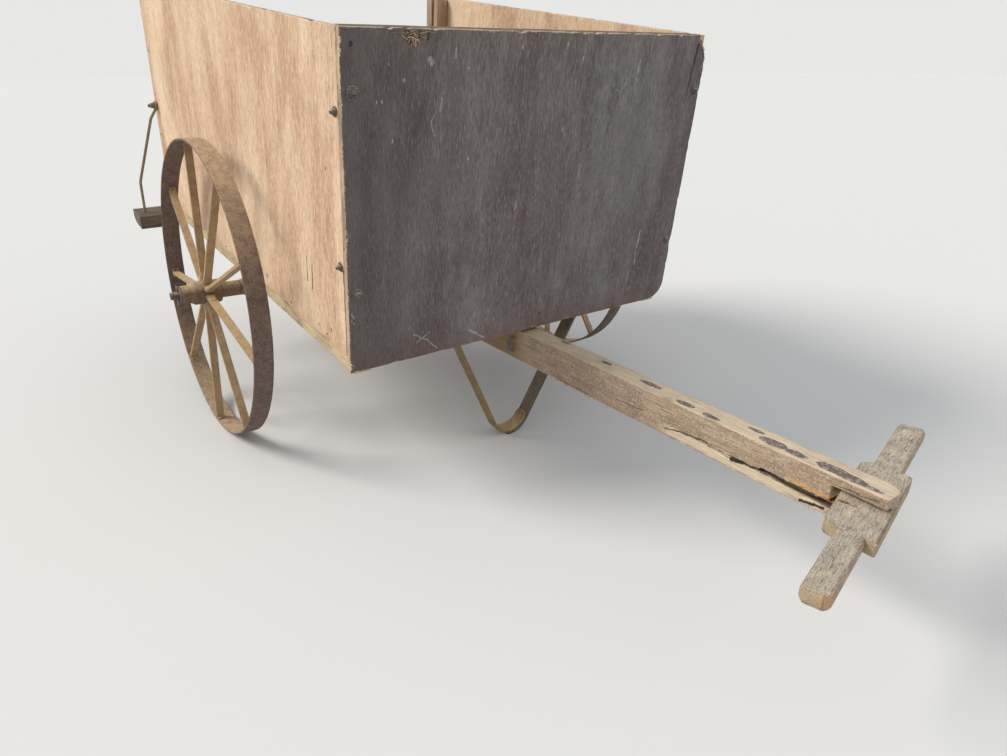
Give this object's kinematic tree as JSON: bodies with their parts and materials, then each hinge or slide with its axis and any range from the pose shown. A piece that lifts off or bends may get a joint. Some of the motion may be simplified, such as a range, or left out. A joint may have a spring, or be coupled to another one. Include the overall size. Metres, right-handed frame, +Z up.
{
  "type": "two-wheeled hand cart",
  "caption": "Home-made hand cart: open-backed plywood box on iron spoked wheels, with a timber tongue, cross handle and strap-iron stand.",
  "frame": {"origin": "on the ground, under the middle of the cart's overall length and width", "axes": "+X forward along the tongue, +Y to the cart's left, +Z up"},
  "size_m": [2.151, 1.2444, 1.06],
  "materials": {
    "painted_plywood": "faded maroon-brown paint on weathered plywood with open grain",
    "sawn_timber": "weathered sawn softwood",
    "floor_timber": "worn grey-brown floor boards",
    "tongue_timber": "weathered timber with the last of a brown paint",
    "weathered_timber": "bare grey weathered timber",
    "wheel_iron": "pitted purple-brown rust",
    "rusty_iron": "rusted strap and rod iron"
  },
  "bodies": {
    "cart": {"front_panel": "painted_plywood", "side_panel_left": "painted_plywood", "side_sill_left": "sawn_timber", "front_cross_sill": "sawn_timber", "rear_cross_sill": "sawn_timber", "floor_boards": "floor_timber", "corner_post_left": "sawn_timber", "slot_batten_left": "sawn_timber", "rear_post_left": "sawn_timber", "front_top_rail": "sawn_timber", "axle": "rusty_iron", "axle_clamp_left": "rusty_iron", "axle_collar_left": "rusty_iron", "hub_washer_left": "rusty_iron", "linchpin_left": "rusty_iron", "tongue": "tongue_timber", "tongue_staple": "rusty_iron", "tongue_block": "sawn_timber", "handle": "weathered_timber", "stand_leg_right": "rusty_iron", "stand_leg_left": "rusty_iron", "side_brace_left": "rusty_iron", "brace_bolt_left": "rusty_iron", "side_panel_right": "painted_plywood", "side_sill_right": "sawn_timber", "corner_post_right": "sawn_timber", "slot_batten_right": "sawn_timber", "rear_post_right": "sawn_timber", "axle_clamp_right": "rusty_iron", "axle_collar_right": "rusty_iron", "hub_washer_right": "rusty_iron", "linchpin_right": "rusty_iron", "side_brace_right": "rusty_iron", "brace_bolt_right": "rusty_iron"},
    "wheel_left": {"wheel_rim_left": "wheel_iron", "wheel_spokes_left": "wheel_iron", "wheel_hub_left": "wheel_iron"},
    "wheel_right": {"wheel_rim_right": "wheel_iron", "wheel_spokes_right": "wheel_iron", "wheel_hub_right": "wheel_iron"}
  },
  "joints": [
    {"name": "wheel_left_spin", "type": "hinge", "parent": "cart", "child": "wheel_left", "pos_m": [-0.38594, 0.528, 0.35352], "axis": [0.0043, 0.9994, 0.0334], "continuous": true},
    {"name": "wheel_right_spin", "type": "hinge", "parent": "cart", "child": "wheel_right", "pos_m": [-0.38594, -0.528, 0.35352], "axis": [-0.0043, 0.9994, -0.0334], "continuous": true}
  ]
}
